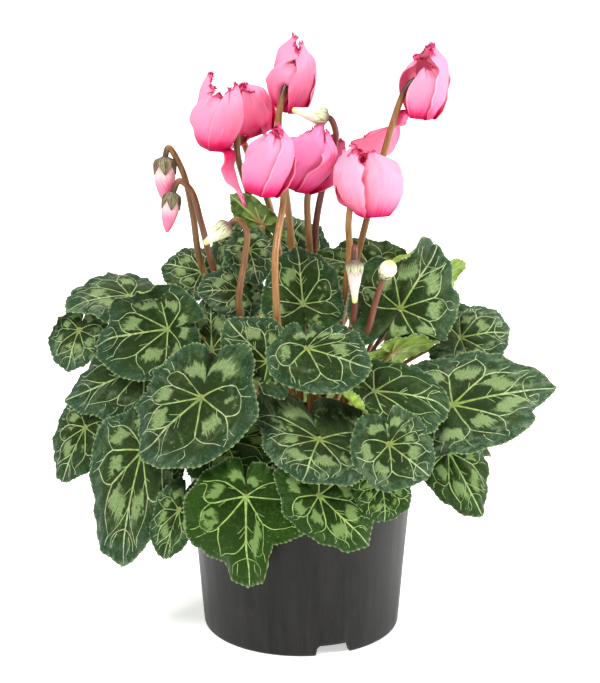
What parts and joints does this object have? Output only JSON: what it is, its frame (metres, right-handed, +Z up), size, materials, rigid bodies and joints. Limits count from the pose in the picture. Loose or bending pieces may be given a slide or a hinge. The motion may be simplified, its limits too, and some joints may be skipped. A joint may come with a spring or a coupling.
{
  "type": "potted cyclamen",
  "caption": "Florist's cyclamen in a nursery pot: marbled heart-shaped leaves hanging over the rim, pink fringed blooms and nodding buds on brown stalks.",
  "frame": {"origin": "middle of the part's width and depth, on the surface the pot stands on; the pot's own axis is there too", "axes": "+Z up, +X to the viewer's right, +Y away from the viewer"},
  "size_m": [0.268, 0.1933, 0.3179],
  "materials": {
    "pot_plastic": "satin, dark grey, fine upright streaks",
    "soil": "dull, crumbly peat",
    "stalk_and_tuber": "satin, smooth, brown with an olive cast",
    "petal": "soft satin, thin, deeper pink at the mouth",
    "pale_petal": "soft satin, cream with a green cast",
    "leaf": "satin, dark green marbled with silver green"
  },
  "bodies": {
    "root": {"pot": "pot_plastic", "soil": "soil", "tuber_and_flower_stalks": "stalk_and_tuber", "bloom_left": "petal", "bloom_back_left": "petal", "bloom_top": "petal", "bloom_front_centre": "petal", "bloom_front_right_of_centre": "petal", "bloom_right": "petal", "bloom_top_right": "petal", "bud_left_upper": "petal", "bud_left_lower": "petal", "bud_white_left": "pale_petal", "bud_white_top": "pale_petal", "bud_drooping": "pale_petal", "bud_round": "pale_petal", "leaf_top_young": "leaf", "leaf_top_centre_back": "leaf", "leaf_top_left_face": "leaf", "leaf_top_left_small": "leaf", "leaf_top_left_low": "leaf", "leaf_top_left_back": "leaf", "leaf_top_centre": "leaf", "leaf_top_right_back": "leaf", "leaf_top_right_face": "leaf", "leaf_top_right_behind": "leaf", "leaf_left_outer": "leaf", "leaf_left_tip": "leaf", "leaf_left_broad": "leaf", "leaf_left_inner": "leaf", "leaf_left_middle": "leaf", "leaf_left_hanging": "leaf", "leaf_left_long": "leaf", "leaf_left_low_small": "leaf", "leaf_left_low_twisted": "leaf", "leaf_front_left_broad": "leaf", "leaf_front_upright": "leaf", "leaf_front_heart": "leaf", "leaf_front_shaded": "leaf", "leaf_front_wide": "leaf", "leaf_front_right_wide": "leaf", "leaf_front_right": "leaf", "leaf_rim_left": "leaf", "leaf_rim_small": "leaf", "leaf_rim_centre": "leaf", "leaf_rim_right": "leaf", "leaf_right_upper": "leaf", "leaf_right_broad": "leaf", "leaf_right_underside": "leaf", "leaf_right_hanging": "leaf", "leaf_right_shaded": "leaf", "leaf_back_right": "leaf", "leaf_back_right_low": "leaf", "leaf_back_right_inner": "leaf", "leaf_back_middle": "leaf", "leaf_back_middle_low": "leaf", "leaf_back_left_low": "leaf", "leaf_back_right_corner": "leaf", "leaf_back_left": "leaf", "leaf_back_left_outer": "leaf"}
  },
  "joints": []
}
